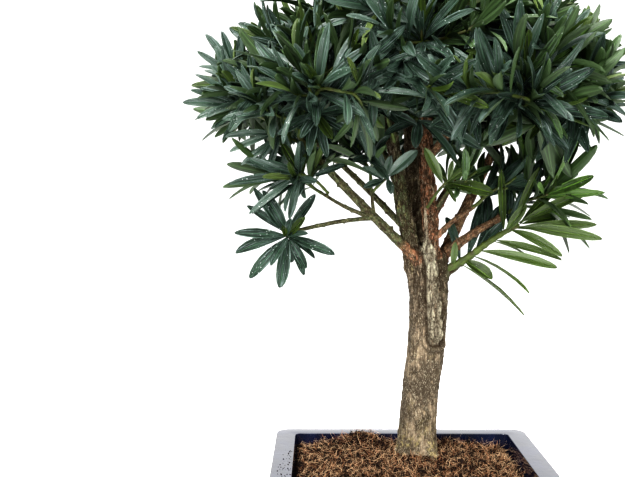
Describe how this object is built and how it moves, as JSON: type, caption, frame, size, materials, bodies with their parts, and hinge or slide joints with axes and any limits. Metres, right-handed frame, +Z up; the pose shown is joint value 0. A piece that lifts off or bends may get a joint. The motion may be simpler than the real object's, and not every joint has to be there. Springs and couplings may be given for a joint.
{
  "type": "podocarpus bonsai tree in a pot",
  "caption": "Small podocarpus bonsai: a bare leaning trunk, boughs that fan out into a dense dome of strap-shaped leaves, and a glazed rectangular pot filled with soil.",
  "frame": {"origin": "centre of the flat underside of the pot, on the surface that it stands on", "axes": "+X to the plant's right along the pot's long side, +Y to its back, +Z up along the trunk"},
  "size_m": [0.5026, 0.4678, 0.6597],
  "materials": {
    "glaze": "gloss",
    "soil": "rough",
    "bark": "rough",
    "young_bark": "matte",
    "foliage": "satin",
    "young_foliage": "satin"
  },
  "bodies": {
    "root": {"pot": "glaze", "soil": "soil", "trunk": "bark", "left_stem": "bark", "middle_stem": "bark", "front_stem": "bark", "low_left_bough": "bark", "high_left_bough": "young_bark", "hanging_twig": "young_bark", "left_spur": "young_bark", "inner_twig": "young_bark", "right_bough": "bark", "low_right_bough": "bark", "right_twig": "young_bark", "spur_twig": "young_bark", "green_shoot_base": "young_bark", "back_bough": "bark", "back_left_bough": "bark", "back_right_bough": "bark", "upper_right_bough": "bark", "front_right_bough": "young_bark", "top_foliage": "foliage", "upper_left_foliage": "foliage", "upper_right_foliage": "foliage", "upper_front_foliage": "foliage", "upper_back_foliage": "foliage", "left_foliage": "foliage", "left_front_foliage": "foliage", "left_back_foliage": "foliage", "right_foliage": "foliage", "right_front_foliage": "foliage", "right_back_foliage": "foliage", "inner_foliage": "foliage", "hanging_foliage": "foliage", "spur_foliage": "young_foliage", "right_inner_foliage": "foliage", "low_left_foliage": "foliage", "low_right_foliage": "foliage", "green_shoot_foliage": "young_foliage"}
  },
  "joints": []
}
